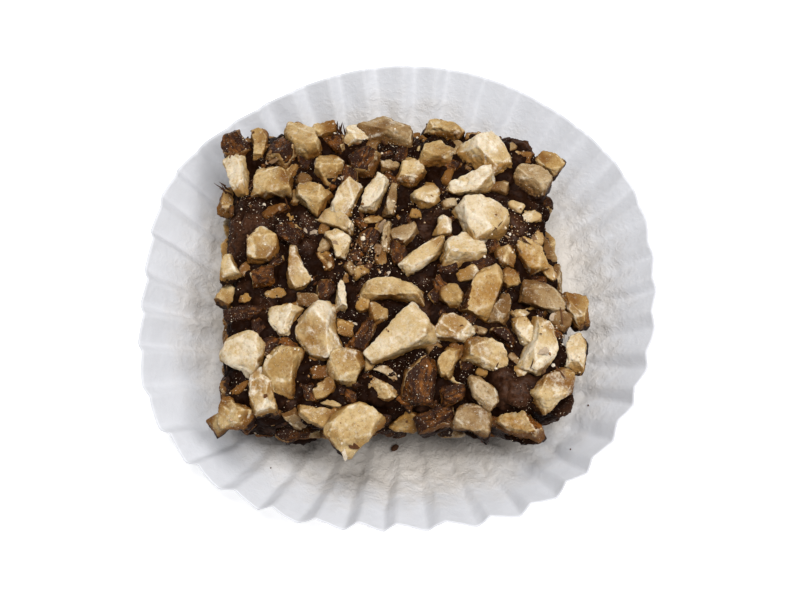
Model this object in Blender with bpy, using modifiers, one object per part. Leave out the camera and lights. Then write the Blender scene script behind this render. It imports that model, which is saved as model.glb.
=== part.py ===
"""Almond buttercrunch in its fluted paper case: a chocolate-coated slab set with chopped almonds.

Run with: blender --background --python part.py
The origin is the middle of the case's flat base, on the table. +Z is up and the front is -Y.
Sizes are in millimetres here, and each finished mesh is scaled to metres.
"""

import math
import random

import bmesh
import bpy
from mathutils import Matrix, Vector, noise
from mathutils.bvhtree import BVHTree

MM = 0.001

# Paper case: a pressed disc of paper, flat in the middle, with a pleated wall pushed out by the sweet.
PLEATS = 40
STEPS_PER_PLEAT = 5
PAPER_THICK = 0.35
DISC_RADIUS = 35.0  # of the paper before it is folded
BASE_RADIUS = 16.0  # the pleats start here
RIDGE_SHARE = 0.6  # of a pleat's width falls slowly, and the rest rises steeply to the next ridge
PLEAT_DEPTH = 0.9  # at the rim
WALL_RINGS = (0.0, 0.2, 0.38, 0.54, 0.7, 0.85, 1.0)
PLEAT_GROWTH = 1.3  # the power by which the pleats deepen from the base's edge to the rim
WALL_BEND = 0.3  # how soft the turn from base to wall is, as a share of the wall's width
FEET = 8  # creases that touch the table beyond the flat base
BETWEEN_FEET = 0.12  # how far the paper lifts off the table between them
# Spaced evenly round the case from +X: where the wall leaves the table, how high its rim is, and
# how far out, which is given at closer steps because the rim is pulled out of round.
LIFT_RADIUS = (21.0, 24.5, 20.0, 26.2, 22.0, 26.8, 21.0, 26.0)
RIM_HEIGHT = (6.8, 5.6, 7.0, 5.2, 6.8, 4.0, 7.0, 5.0)
RIM_RADIUS = (30.7, 32.1, 31.8, 30.9, 31.3, 32.3, 30.7, 33.1, 32.1, 31.0, 32.0, 31.2)

# Chocolate-coated slab, between its four corners in plan.
SLAB_BACK_LEFT = (-20.2, 18.0)
SLAB_BACK_RIGHT = (16.2, 18.8)
SLAB_FRONT_LEFT = (-19.4, -18.4)
SLAB_FRONT_RIGHT = (18.8, -17.6)
SLAB_BOTTOM = 1.6
SLAB_TOP = 10.3
SLAB_HALF = Vector((19.0, 18.0, (SLAB_TOP - SLAB_BOTTOM) / 2))  # before its corners are drawn to the plan
SLAB_ROUND = 2.8
SLAB_CELLS = (10, 10, 3)
LUMP_SIZE = 8.0
LUMP_HEIGHT = 0.8
BOTTOM_LUMPS = 0.3  # the share of the lumps' height on the underside, where they only dent it
LOWEST_FOOD = 0.72  # the almonds under the slab are cut off here, just clear of the paper
FEET_RADIUS = 13.0  # and stay on the case's flat base

# Chopped almonds. Shape: how far the sides close towards the far end, how far the chunk curves,
# how thick it is for its width, and how many corners are knocked off.
SHAPES = {
    "block": (0.1, 0.0, 0.85, 4),
    "round": (0.0, 0.0, 0.8, 6),
    "wedge": (0.62, 0.0, 0.8, 3),
    "moon": (0.15, 0.4, 0.8, 4),
    "sliver": (0.25, 0.05, 1.1, 2),
    "small": (0.25, 0.0, 0.8, 2),
}
TONES = {
    "cream": (0.86, 0.72, 0.48),
    "tan": (0.70, 0.48, 0.24),
    "gold": (0.62, 0.34, 0.11),
    "grey": (0.55, 0.43, 0.29),
    "skin": (0.20, 0.08, 0.025),
}
THICKEST_CHUNK = 3.9
SEATED_SHARE = 0.36  # of a chunk's thickness lies below the chocolate's surface
MOST_TILT = math.radians(14)
LEAN_OUT = 0.015  # a chunk leans this much more for each millimetre from the middle
# The larger chunks on top: where, length, width, the way the far end points in degrees, shape and tone.
TOP_CHUNKS = (
    (-20.0, 16.4, 3.9, 3.2, 120, "block", "skin"),
    (-17.1, 15.9, 4.8, 2.5, -86, "wedge", "tan"),
    (-14.2, 14.8, 3.9, 3.4, 80, "block", "skin"),
    (-11.7, 16.5, 6.1, 3.9, -62, "block", "tan"),
    (-9.3, 18.7, 3.0, 2.3, 35, "small", "tan"),
    (-7.9, 16.3, 3.3, 2.7, -55, "wedge", "skin"),
    (-5.1, 17.8, 3.3, 2.9, 5, "block", "cream"),
    (-1.6, 18.1, 6.6, 3.0, -12, "block", "grey"),
    (5.4, 18.8, 4.5, 2.1, -20, "block", "tan"),
    (-19.2, 12.1, 6.4, 2.9, -74, "wedge", "cream"),
    (-15.0, 10.2, 4.6, 3.8, -10, "block", "tan"),
    (-11.5, 11.2, 2.1, 1.8, 40, "small", "grey"),
    (-8.3, 12.5, 3.7, 3.1, 50, "block", "tan"),
    (-4.2, 13.7, 4.2, 3.5, 70, "round", "skin"),
    (-1.3, 13.4, 2.3, 1.6, 10, "small", "grey"),
    (-10.5, 8.8, 4.3, 3.1, -40, "block", "tan"),
    (-14.6, 6.8, 3.0, 1.6, 28, "block", "gold"),
    (-6.4, 8.5, 4.8, 2.8, 72, "block", "cream"),
    (-2.9, 9.3, 5.6, 2.1, 68, "block", "cream"),
    (4.5, 14.5, 3.9, 3.1, -10, "block", "tan"),
    (10.5, 14.2, 5.5, 4.3, -52, "block", "cream"),
    (1.3, 12.2, 3.7, 3.2, 60, "block", "tan"),
    (3.0, 8.9, 3.2, 2.7, 42, "block", "cream"),
    (5.6, 11.5, 1.9, 1.6, 70, "small", "tan"),
    (8.4, 10.2, 6.0, 2.7, 195, "wedge", "cream"),
    (6.2, 8.0, 2.6, 1.3, 10, "small", "grey"),
    (9.5, 5.5, 6.0, 5.3, -65, "round", "cream"),
    (15.8, 11.5, 4.5, 3.1, -22, "block", "grey"),
    (-16.0, 2.2, 4.2, 3.5, 100, "round", "tan"),
    (-13.0, 3.7, 3.5, 2.7, -30, "block", "skin"),
    (-7.3, 5.5, 5.2, 2.5, -38, "wedge", "cream"),
    (-7.0, 2.3, 3.3, 2.8, -80, "wedge", "cream"),
    (-3.7, 3.1, 3.0, 2.4, 70, "block", "skin"),
    (-1.6, 3.3, 4.0, 1.4, 84, "sliver", "grey"),
    (0.5, 4.0, 3.2, 2.4, 30, "block", "grey"),
    (5.1, 4.8, 2.8, 2.1, 75, "block", "cream"),
    (7.3, 1.2, 5.2, 3.1, 12, "round", "cream"),
    (2.6, 0.8, 6.0, 2.2, 38, "block", "cream"),
    (12.3, 0.9, 2.7, 2.4, 90, "round", "tan"),
    (15.2, 1.0, 4.4, 2.9, 108, "block", "gold"),
    (17.3, -0.7, 2.7, 1.2, -60, "small", "cream"),
    (7.9, -1.4, 2.7, 1.7, 20, "small", "cream"),
    (-12.0, -0.7, 5.6, 2.5, 102, "wedge", "cream"),
    (-14.4, -3.7, 2.4, 1.3, 10, "small", "cream"),
    (-17.8, -6.4, 4.6, 1.8, 5, "block", "skin"),
    (-8.6, -3.6, 2.8, 2.0, 60, "block", "skin"),
    (-6.8, -4.2, 4.0, 1.1, 88, "sliver", "cream"),
    (-13.0, -7.7, 3.4, 3.4, -90, "wedge", "cream"),
    (-9.1, -9.1, 6.7, 4.3, 102, "round", "cream"),
    (-17.3, -11.4, 4.9, 4.1, -32, "round", "cream"),
    (-12.9, -13.5, 6.1, 3.6, 78, "round", "tan"),
    (-15.2, -15.7, 5.1, 2.7, 98, "block", "cream"),
    (-17.6, -15.2, 2.2, 1.6, 20, "small", "tan"),
    (-6.1, -13.2, 4.4, 3.8, 70, "round", "tan"),
    (-8.3, -15.3, 2.5, 2.0, 30, "small", "tan"),
    (-18.2, -18.1, 3.8, 3.1, -25, "round", "tan"),
    (-9.1, -18.6, 4.4, 2.5, 165, "wedge", "tan"),
    (-5.3, -19.8, 5.9, 4.2, 42, "round", "tan"),
    (-2.1, -15.7, 3.8, 1.9, -35, "block", "tan"),
    (-0.8, -3.5, 8.0, 2.7, -8, "moon", "gold"),
    (-0.1, -10.0, 8.0, 4.7, 213, "wedge", "cream"),
    (-4.0, -9.2, 4.0, 2.0, 60, "block", "skin"),
    (6.0, -4.5, 2.9, 2.6, -50, "block", "tan"),
    (9.5, -3.9, 6.6, 3.4, 65, "block", "gold"),
    (12.6, -2.0, 2.6, 2.1, -50, "block", "gold"),
    (11.5, -6.0, 3.8, 2.1, 75, "block", "grey"),
    (16.3, -4.3, 5.4, 3.0, -20, "block", "grey"),
    (14.0, -6.3, 2.8, 1.4, 30, "small", "cream"),
    (14.0, -8.8, 3.4, 2.7, -80, "wedge", "cream"),
    (15.4, -10.6, 6.7, 2.9, 72, "block", "cream"),
    (6.2, -8.7, 4.1, 3.0, -15, "block", "cream"),
    (9.6, -11.6, 4.8, 3.2, -18, "block", "tan"),
    (5.4, -12.6, 3.7, 2.1, 68, "block", "tan"),
    (2.2, -14.9, 5.1, 3.7, 80, "block", "skin"),
    (5.8, -16.0, 2.8, 2.2, 20, "block", "skin"),
    (9.1, -15.9, 4.2, 2.3, -42, "block", "grey"),
    (16.9, -15.5, 5.1, 3.3, 40, "block", "tan"),
    (18.4, -7.0, 2.4, 2.2, 80, "block", "grey"),
)
# Larger ones on the slab's edges and sides: the same, after a place with a height.
EDGE_CHUNKS = (
    (-21.0, 9.8, 7.5, 3.2, 2.4, 80, "small", "tan"),
    (-19.9, -0.4, 10.2, 3.0, 2.3, 100, "wedge", "cream"),
    (-20.4, -3.0, 8.0, 2.4, 2.1, 70, "small", "tan"),
    (-20.1, -18.0, 6.0, 2.9, 2.4, 30, "small", "gold"),
    (-11.3, -18.8, 4.8, 4.6, 2.0, 8, "block", "skin"),
    (13.5, -18.7, 6.9, 5.4, 3.9, -38, "wedge", "gold"),
    (20.1, -10.7, 8.5, 4.6, 2.2, 78, "block", "cream"),
    (20.4, -5.2, 8.5, 4.4, 2.5, -62, "block", "tan"),
    (18.2, 14.7, 8.5, 3.4, 2.9, -20, "block", "tan"),
    (3.9, -18.4, 8.0, 4.5, 2.6, 18, "block", "skin"),
    (8.2, -18.6, 8.0, 4.4, 3.2, -20, "block", "grey"),
)
# The smaller ones follow a rule: how many, the longest, the shortest, and how deep they are seated.
TOP_FILL = (14, 2.4, 1.5, 0.36)
SIDE_FILL = (30, 4.4, 2.8, 0.55)
FOOT_FILL = (6, 4.0, 2.8, 0.4)
SIDE_HEIGHTS = (3.2, 8.4)
FILL_SPACING = 0.92  # of the distance at which two chunks would just touch
FILL_TRIES = 2600
FILL_SEED = 41

PAPER_COLOUR = (0.88, 0.88, 0.88)
CHOCOLATE_COLOUR = (0.045, 0.018, 0.010)


def clear_scene():
    for obj in list(bpy.data.objects):
        bpy.data.objects.remove(obj)


def make_material(name, colour, roughness):
    material = bpy.data.materials.new(name)
    material.use_nodes = True
    shader = material.node_tree.nodes["Principled BSDF"]
    shader.inputs["Base Color"].default_value = (*colour, 1.0)
    shader.inputs["Roughness"].default_value = roughness
    return material


def make_object(name, bm, material, collection):
    """An object of the mesh in bm, scaled from millimetres to metres."""
    mesh = bpy.data.meshes.new(name)
    bm.to_mesh(mesh)
    bm.free()
    mesh.transform(Matrix.Scale(MM, 4))
    mesh.materials.append(material)
    obj = bpy.data.objects.new(name, mesh)
    collection.objects.link(obj)
    return obj


def evaluated(obj):
    """A copy of the object's mesh with its modifiers applied."""
    bpy.context.view_layer.update()
    return bpy.data.meshes.new_from_object(obj.evaluated_get(bpy.context.evaluated_depsgraph_get()))


def around(values, angle):
    """The value at an angle, from values spaced evenly round the circle, by a smooth closed curve."""
    place = angle / math.tau % 1.0 * len(values)
    first = int(place)
    share = place - first
    before, start, end, after = (values[(first + k) % len(values)] for k in (-1, 0, 1, 2))
    slope_in = (end - before) / 2
    slope_out = (after - start) / 2
    rest = 1 - share
    return (
        start * (1 + 2 * share) * rest**2
        + slope_in * share * rest**2
        + end * share**2 * (3 - 2 * share)
        - slope_out * share**2 * rest
    )


# ---- Paper case -------------------------------------------------------------------------------


def pleat_height(angle):
    """From 0 in a pleat's crease to 1 on its ridge: a slow fall, then a steep rise."""
    share = angle / math.tau * PLEATS % 1.0
    if share < RIDGE_SHARE:
        return 0.5 + 0.5 * math.cos(math.pi * share / RIDGE_SHARE)
    return 0.5 - 0.5 * math.cos(math.pi * (share - RIDGE_SHARE) / (1 - RIDGE_SHARE))


def wall_lift(share):
    """The wall's height for its way out from the table, 0 to 1: a soft bend, then straight."""
    soft = math.hypot(share, WALL_BEND) - WALL_BEND
    return soft / (math.hypot(1, WALL_BEND) - WALL_BEND)


def folded(flat):
    """Where a point of the flat paper disc comes to lie in the case."""
    angle = math.atan2(flat.y, flat.x)
    share = (flat.length - BASE_RADIUS) / (DISC_RADIUS - BASE_RADIUS)
    if share <= 0:
        return flat
    lift = around(LIFT_RADIUS, angle)
    rim = around(RIM_RADIUS, angle)
    radius = BASE_RADIUS + share * (rim - BASE_RADIUS)
    on_wall = max(0.0, radius - lift) / (rim - lift)
    height = around(RIM_HEIGHT, angle)
    slope = math.atan2(height * min(1.0, on_wall * 3), rim - lift)
    pleat = PLEAT_DEPTH * share**PLEAT_GROWTH * pleat_height(angle)
    radius -= pleat * math.sin(slope)
    off_feet = math.sin(FEET / 2 * (angle - RIDGE_SHARE * math.tau / PLEATS)) ** 2
    height = height * wall_lift(on_wall) + pleat * math.cos(slope)
    height += BETWEEN_FEET * off_feet * min(1.0, share / WALL_RINGS[1])
    return Vector((radius * math.cos(angle), radius * math.sin(angle), height))


def make_case(collection):
    """A turned disc of paper, folded into the case and given its thickness."""
    bm = bmesh.new()
    radii = [0.0] + [BASE_RADIUS + share * (DISC_RADIUS - BASE_RADIUS) for share in WALL_RINGS]
    spots = [bm.verts.new((radius, 0, 0)) for radius in radii]
    for inner, outer in zip(spots, spots[1:]):
        bm.edges.new((inner, outer))
    case = make_object("paper_case", bm, make_material("paper", PAPER_COLOUR, 0.6), collection)
    turn = case.modifiers.new("turn", "SCREW")
    turn.steps = turn.render_steps = PLEATS * STEPS_PER_PLEAT
    turn.use_merge_vertices = True
    turn.merge_threshold = 0.0001
    disc = evaluated(case)
    case.modifiers.clear()
    case.data = disc
    for vertex in disc.vertices:
        vertex.co = folded(vertex.co / MM) * MM
    disc.shade_smooth()
    paper = case.modifiers.new("paper thickness", "SOLIDIFY")
    paper.thickness = PAPER_THICK * MM
    paper.offset = 1.0
    return case


# ---- Slab -------------------------------------------------------------------------------------


def slab_point(corner):
    """A point of the unit cube's surface, drawn into the rounded, lumpy slab."""
    boxed = corner * SLAB_HALF
    core_half = SLAB_HALF - Vector((SLAB_ROUND, SLAB_ROUND, SLAB_ROUND))
    core = Vector(max(-limit, min(limit, value)) for value, limit in zip(boxed, core_half))
    outward = (boxed - core).normalized()
    rounded = core + outward * SLAB_ROUND
    across = (1 + rounded.x / SLAB_HALF.x) / 2
    along = (1 + rounded.y / SLAB_HALF.y) / 2
    front = Vector(SLAB_FRONT_LEFT).lerp(Vector(SLAB_FRONT_RIGHT), across)
    back = Vector(SLAB_BACK_LEFT).lerp(Vector(SLAB_BACK_RIGHT), across)
    plan = front.lerp(back, along)
    place = Vector((plan.x, plan.y, rounded.z + (SLAB_TOP + SLAB_BOTTOM) / 2))
    lump = noise.noise(place / LUMP_SIZE) + 0.5 * noise.noise(place / LUMP_SIZE * 2.3)
    if outward.z < -0.5:
        lump = BOTTOM_LUMPS * (abs(lump) - 1)
    return place + outward * lump * LUMP_HEIGHT


def slab_mesh():
    """The slab's mesh, from a cube with divided faces."""
    bm = bmesh.new()
    bmesh.ops.create_cube(bm, size=2)
    for axis, cells in enumerate(SLAB_CELLS):
        for cut in range(1, cells):
            normal = Vector(float(axis == k) for k in range(3))
            place = normal * (2 * cut / cells - 1)
            whole = bm.verts[:] + bm.edges[:] + bm.faces[:]
            bmesh.ops.bisect_plane(bm, geom=whole, plane_co=place, plane_no=normal)
    for vertex in bm.verts:
        vertex.co = slab_point(vertex.co)
    bmesh.ops.triangulate(bm, faces=bm.faces)
    return bm


# ---- Almonds ----------------------------------------------------------------------------------


def chunk_planes(length, width, thick, close, cuts, draw):
    """The planes that cut a chunk out of an almond, each as its outward normal and its distance."""
    closing = math.atan2(close * width / 2, length)
    shift = close * width / 4
    planes = []
    for way in (-1, 1):
        lean = [draw.uniform(-0.2, 0.2) for _ in range(4)]
        planes.append((Vector((way, lean[0], lean[1])).normalized(), length / 2))
        side = Vector((math.sin(closing), way * math.cos(closing), lean[2])).normalized()
        planes.append((side, width / 2 - shift))
        planes.append((Vector((lean[3], lean[0] / 2, way)).normalized(), thick / 2))
    for number in range(cuts):
        way = Vector((1 - 2 * (number & 1), 1 - (number & 2), 1 - (number & 4) / 2))
        corner = Vector((way.x / length, way.y / width, way.z / thick * draw.uniform(0.3, 1.1)))
        normal = Vector((corner.x * draw.uniform(0.6, 1.4), corner.y * draw.uniform(0.6, 1.4), corner.z))
        normal.normalize()
        reach = abs(normal.x) * length / 2 + abs(normal.y) * width / 2 + abs(normal.z) * thick / 2
        planes.append((normal, reach * draw.uniform(0.6, 0.78)))
    return planes


def cut_by(bm, place, normal):
    """Cuts off what lies beyond a plane, and closes the cut."""
    cut = bmesh.ops.bisect_plane(
        bm,
        geom=bm.verts[:] + bm.edges[:] + bm.faces[:],
        dist=0.001,
        plane_co=place,
        plane_no=normal,
        clear_outer=True,
    )
    edges = [item for item in cut["geom_cut"] if isinstance(item, bmesh.types.BMEdge)]
    if edges:
        bmesh.ops.edgeloop_fill(bm, edges=edges)


def make_chunk(chunk, seat, seated, outward, draw, almonds, materials):
    """One chopped almond on a seat, a share of it sunk in, lying across the outward direction."""
    length, width, turn, shape, tone = chunk
    close, curve, thickness, cuts = SHAPES[shape]
    thick = min(THICKEST_CHUNK, thickness * math.sqrt(length * width))
    bm = bmesh.new()
    bmesh.ops.create_cube(bm, size=2 * length)
    for normal, distance in chunk_planes(length, width, thick, close, cuts, draw):
        cut_by(bm, normal * distance, normal)
    bmesh.ops.triangulate(bm, faces=bm.faces)
    for vertex in bm.verts:
        vertex.co.y -= curve * width * (2 * vertex.co.x / length) ** 2
    lean = Matrix.Rotation(draw.uniform(-MOST_TILT, MOST_TILT), 4, "X")
    lean @= Matrix.Rotation(draw.uniform(-MOST_TILT, MOST_TILT), 4, "Y")
    stand = Vector((0, 0, 1)).rotation_difference(outward).to_matrix().to_4x4()
    spin = Matrix.Rotation(math.radians(turn), 4, "Z")
    middle = seat + outward * thick * (0.5 - seated)
    bm.transform(Matrix.Translation(middle) @ stand @ spin @ lean)
    if min(vertex.co.z for vertex in bm.verts) < LOWEST_FOOD:
        cut_by(bm, Vector((0, 0, LOWEST_FOOD)), Vector((0, 0, -1)))
        bmesh.ops.triangulate(bm, faces=bm.faces)
    return make_object("almond", bm, materials[tone], almonds)


def fill_chunks(count, longest, shortest, place_of, taken, draw):
    """Yields chunks by rule, ever smaller, each at a random free place, with its seat and outward way."""
    made = 0
    for _ in range(FILL_TRIES):
        if made == count:
            return
        length = longest + (shortest - longest) * made / count
        width = length * draw.uniform(0.62, 0.9)
        spot = place_of(draw)
        if spot is None:
            continue
        seat, outward = spot
        reach = (length + width) / 4
        if any((seat - other).length < FILL_SPACING * (reach + wide) for other, wide in taken):
            continue
        taken.append((seat, reach))
        made += 1
        yield (length, width, draw.uniform(0, 360), "small", draw.choice(list(TONES))), seat, outward


def make_almonds(slab_tree, almonds):
    """All the almonds: the larger on top, then small ones between them, on the sides and underneath."""
    materials = {tone: make_material(f"almond {tone}", colour, 0.5) for tone, colour in TONES.items()}
    middle = Vector((0, 0, (SLAB_TOP + SLAB_BOTTOM) / 2))
    up = Vector((0, 0, 1))
    taken = []

    def on_top(draw):
        spot = Vector((draw.uniform(-1, 1), draw.uniform(-1, 1), 4))
        seat = slab_tree.ray_cast(spot * SLAB_HALF, -up)[0]
        return seat and (seat, up)

    def on_side(draw):
        angle = draw.uniform(0, math.tau)
        way = Vector((math.cos(angle), math.sin(angle), 0))
        start = Vector((0, 0, draw.uniform(*SIDE_HEIGHTS))) + way * 2 * SLAB_HALF.x
        seat, normal = slab_tree.ray_cast(start, -way)[:2]
        return seat and (seat, (normal + way * 0.5).normalized())

    def underneath(draw):
        angle = draw.uniform(0, math.tau)
        out = FEET_RADIUS * math.sqrt(draw.random())
        start = Vector((out * math.cos(angle), out * math.sin(angle), 0))
        seat = slab_tree.ray_cast(start, up)[0]
        return seat and (seat, -up)

    for number, (x, y, *chunk) in enumerate(TOP_CHUNKS):
        seat = Vector((x, y, slab_tree.find_nearest(Vector((x, y, SLAB_TOP)))[0].z))
        taken.append((seat, (chunk[0] + chunk[1]) / 4))
        leaning_out = (up + LEAN_OUT * (seat - middle)).normalized()
        make_chunk(chunk, seat, SEATED_SHARE, leaning_out, random.Random(number), almonds, materials)
    for number, (x, y, z, *chunk) in enumerate(EDGE_CHUNKS):
        seat = Vector((x, y, z))
        taken.append((seat, (chunk[0] + chunk[1]) / 4))
        make_chunk(chunk, seat, SEATED_SHARE, up, random.Random(-number), almonds, materials)
    draw = random.Random(FILL_SEED)
    fills = ((TOP_FILL, on_top), (SIDE_FILL, on_side), (FOOT_FILL, underneath))
    for (*fill, seated), place_of in fills:
        for chunk, seat, outward in fill_chunks(*fill, place_of, taken, draw):
            make_chunk(chunk, seat, seated, outward, draw, almonds, materials)


def keep_largest(mesh):
    """Leaves one closed skin: fills hollows that the fusing sealed, and drops loose scraps."""
    bm = bmesh.new()
    bm.from_mesh(mesh)
    unseen = set(bm.verts)
    skins = []
    while unseen:
        skin = [unseen.pop()]
        for vertex in skin:
            near = {edge.other_vert(vertex) for edge in vertex.link_edges} & unseen
            unseen -= near
            skin.extend(near)
        skins.append(skin)
    skins.sort(key=len)
    for skin in skins[:-1]:
        bmesh.ops.delete(bm, geom=skin, context="VERTS")
    bm.to_mesh(mesh)
    bm.free()


def make_buttercrunch(collection):
    """The slab with its almonds fused on, as one solid."""
    bm = slab_mesh()
    slab_tree = BVHTree.FromBMesh(bm)
    sweet = make_object("buttercrunch", bm, make_material("chocolate", CHOCOLATE_COLOUR, 0.35), collection)
    almonds = bpy.data.collections.new("almonds")
    bpy.context.scene.collection.children.link(almonds)
    make_almonds(slab_tree, almonds)
    join = sweet.modifiers.new("almonds", "BOOLEAN")
    join.operation = "UNION"
    join.solver = "MANIFOLD"
    join.operand_type = "COLLECTION"
    join.collection = almonds
    join.material_mode = "TRANSFER"
    fused = evaluated(sweet)
    sweet.modifiers.clear()
    keep_largest(fused)
    sweet.data = fused
    for almond in list(almonds.objects):
        bpy.data.objects.remove(almond)
    bpy.data.collections.remove(almonds)
    return sweet


def main():
    clear_scene()
    collection = bpy.data.collections.new("almond buttercrunch")
    bpy.context.scene.collection.children.link(collection)
    make_case(collection)
    make_buttercrunch(collection)


main()
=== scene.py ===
import math
import random
import re

import bmesh
import bpy
import numpy as np
from mathutils import Matrix, Vector, noise
from mathutils.bvhtree import BVHTree


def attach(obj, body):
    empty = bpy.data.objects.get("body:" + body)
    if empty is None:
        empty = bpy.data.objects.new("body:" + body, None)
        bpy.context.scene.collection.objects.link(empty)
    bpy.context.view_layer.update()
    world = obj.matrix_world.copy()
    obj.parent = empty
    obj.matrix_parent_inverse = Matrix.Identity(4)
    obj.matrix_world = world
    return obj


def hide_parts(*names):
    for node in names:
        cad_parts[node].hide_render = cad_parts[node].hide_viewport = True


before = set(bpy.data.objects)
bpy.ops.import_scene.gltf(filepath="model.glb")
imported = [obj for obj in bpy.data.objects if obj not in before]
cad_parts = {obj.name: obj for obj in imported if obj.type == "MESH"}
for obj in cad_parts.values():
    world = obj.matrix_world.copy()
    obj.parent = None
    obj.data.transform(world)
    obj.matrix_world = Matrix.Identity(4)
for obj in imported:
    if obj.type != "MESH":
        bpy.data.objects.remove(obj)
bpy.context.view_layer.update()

# Almond buttercrunch in a fluted paper case.
# Everything is modelled in millimetres, and scaled to metres when a piece is finished.

mm = 0.001
up = Vector((0, 0, 1))


class Wire:
    # one output of a node, so that maths between sockets can be written out plainly
    def __init__(self, graph, socket):
        self.graph = graph
        self.socket = socket

    def output(self, name):
        # another output of the same node
        return Wire(self.graph, self.socket.node.outputs[name])

    def maths(self, operation, *values):
        return self.graph.node("ShaderNodeMath", {"operation": operation}, dict(enumerate(values)))

    def __add__(self, other):
        return self.maths("ADD", self, other)

    def __radd__(self, other):
        return self.maths("ADD", other, self)

    def __sub__(self, other):
        return self.maths("SUBTRACT", self, other)

    def __rsub__(self, other):
        return self.maths("SUBTRACT", other, self)

    def __mul__(self, other):
        return self.maths("MULTIPLY", self, other)

    def __rmul__(self, other):
        return self.maths("MULTIPLY", other, self)

    def __truediv__(self, other):
        return self.maths("DIVIDE", self, other)

    def __pow__(self, other):
        return self.maths("POWER", self, other)

    def __lt__(self, other):
        return self.maths("LESS_THAN", self, other)

    def least(self, other):
        return self.maths("MINIMUM", self, other)

    def most(self, other):
        return self.maths("MAXIMUM", self, other)

    def fraction(self):
        return self.maths("FRACT", self)

    def sine(self):
        return self.maths("SINE", self)

    def cosine(self):
        return self.maths("COSINE", self)

    def exponential(self):
        return self.maths("EXPONENT", self)

    def absolute(self):
        return self.maths("ABSOLUTE", self)

    def between(self, low, high):
        # 0 at low, 1 at high, with soft ends
        sockets = {"Value": self, "From Min": low, "From Max": high}
        return self.graph.node("ShaderNodeMapRange", {"interpolation_type": "SMOOTHSTEP"}, sockets)


class Graph:
    def __init__(self, tree):
        self.tree = tree

    def node(self, kind, settings=None, sockets=None, output=0):
        node = self.tree.nodes.new(kind)
        for name, value in (settings or {}).items():
            if name == "stops":
                for _ in value[2:]:
                    node.color_ramp.elements.new(0.5)
                for element, (place, colour) in zip(node.color_ramp.elements, value):
                    element.position = place
                    element.color = (*colour, 1)
            else:
                setattr(node, name, value)
        for name, value in (sockets or {}).items():
            if isinstance(value, Wire):
                self.tree.links.new(value.socket, node.inputs[name])
            else:
                node.inputs[name].default_value = value
        return Wire(self, node.outputs[output])

    def mixed(self, share, first, second):
        # two colours, mixed by a share
        colours = {6: self.colour(first), 7: self.colour(second)}
        return self.node("ShaderNodeMix", {"data_type": "RGBA"}, {0: share, **colours}, 2)

    def colour(self, value):
        return value if isinstance(value, Wire) else (*value, 1)

    def noise(self, place, scale, detail=2.0, roughness=0.5, **settings):
        sockets = {"Vector": place, "Scale": scale, "Detail": detail, "Roughness": roughness}
        return self.node("ShaderNodeTexNoise", settings, sockets)

    def joined(self, x, y, z):
        return self.node("ShaderNodeCombineXYZ", None, {0: x, 1: y, 2: z})

    def part(self, vector, axis):
        return self.node("ShaderNodeSeparateXYZ", None, {0: vector}, axis)

    def scaled(self, vector, factor):
        return self.node("ShaderNodeVectorMath", {"operation": "SCALE"}, {0: vector, "Scale": factor})

    def distance(self, place, other=(0, 0, 0)):
        return self.node("ShaderNodeVectorMath", {"operation": "DISTANCE"}, {0: place, 1: other}, 1)

    def bump(self, height, strength, depth):
        sockets = {"Height": height, "Strength": strength, "Distance": depth}
        return self.node("ShaderNodeBump", None, sockets)

    def pushed(self, geometry, push):
        # geometry moved along its own normals
        offset = self.scaled(self.node("GeometryNodeInputNormal"), push)
        return self.node("GeometryNodeSetPosition", None, {"Geometry": geometry, "Offset": offset})


def newMaterial(name, specular, subsurface=0.0, subsurfaceReach=0.001):
    material = bpy.data.materials.new(name)
    material.use_nodes = True
    shader = material.node_tree.nodes["Principled BSDF"]
    shader.inputs["Specular IOR Level"].default_value = specular
    shader.inputs["Coat Roughness"].default_value = 0.25
    shader.inputs["Subsurface Weight"].default_value = subsurface
    shader.inputs["Subsurface Radius"].default_value = (1.0, 0.6, 0.3)
    shader.inputs["Subsurface Scale"].default_value = subsurfaceReach
    return material, Graph(material.node_tree), shader


def feed(graph, shader, **links):
    for name, wire in links.items():
        graph.tree.links.new(wire.socket, shader.inputs[name.replace("_", " ")])


def millimetres(graph):
    # Object coordinates, in millimetres
    return graph.scaled(graph.node("ShaderNodeTexCoord", output=3), 1 / mm)


def attributeNode(graph, name, output=1):
    # a vertex attribute, as a vector, or as a number for output 2
    return graph.node("ShaderNodeAttribute", {"attribute_name": name}, None, output)


def namedNumber(graph, name):
    return graph.node("GeometryNodeInputNamedAttribute", {"data_type": "FLOAT"}, {"Name": name})


def newObject(name, mesh, material):
    piece = bpy.data.objects.new(name, mesh)
    bpy.context.scene.collection.objects.link(piece)
    mesh.materials.append(material)
    return piece


def meshOf(name, points, faces):
    mesh = bpy.data.meshes.new(name)
    mesh.from_pydata(points, [], faces)
    mesh.update()
    return mesh


def giveNumbers(mesh, name, values):
    # one number, or three, for every vertex, kept as an attribute
    values = np.asarray(values, dtype=np.float32)
    if values.ndim == 1:
        mesh.attributes.new(name, "FLOAT", "POINT").data.foreach_set("value", values)
    else:
        mesh.attributes.new(name, "FLOAT_VECTOR", "POINT").data.foreach_set("vector", values.ravel())


def inputs(look, *keys):
    # the named inputs of a tree, from a piece's dictionary: discRadius becomes Disc Radius
    return {re.sub("([A-Z])", r" \1", key).title(): look[key] for key in keys}


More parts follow.
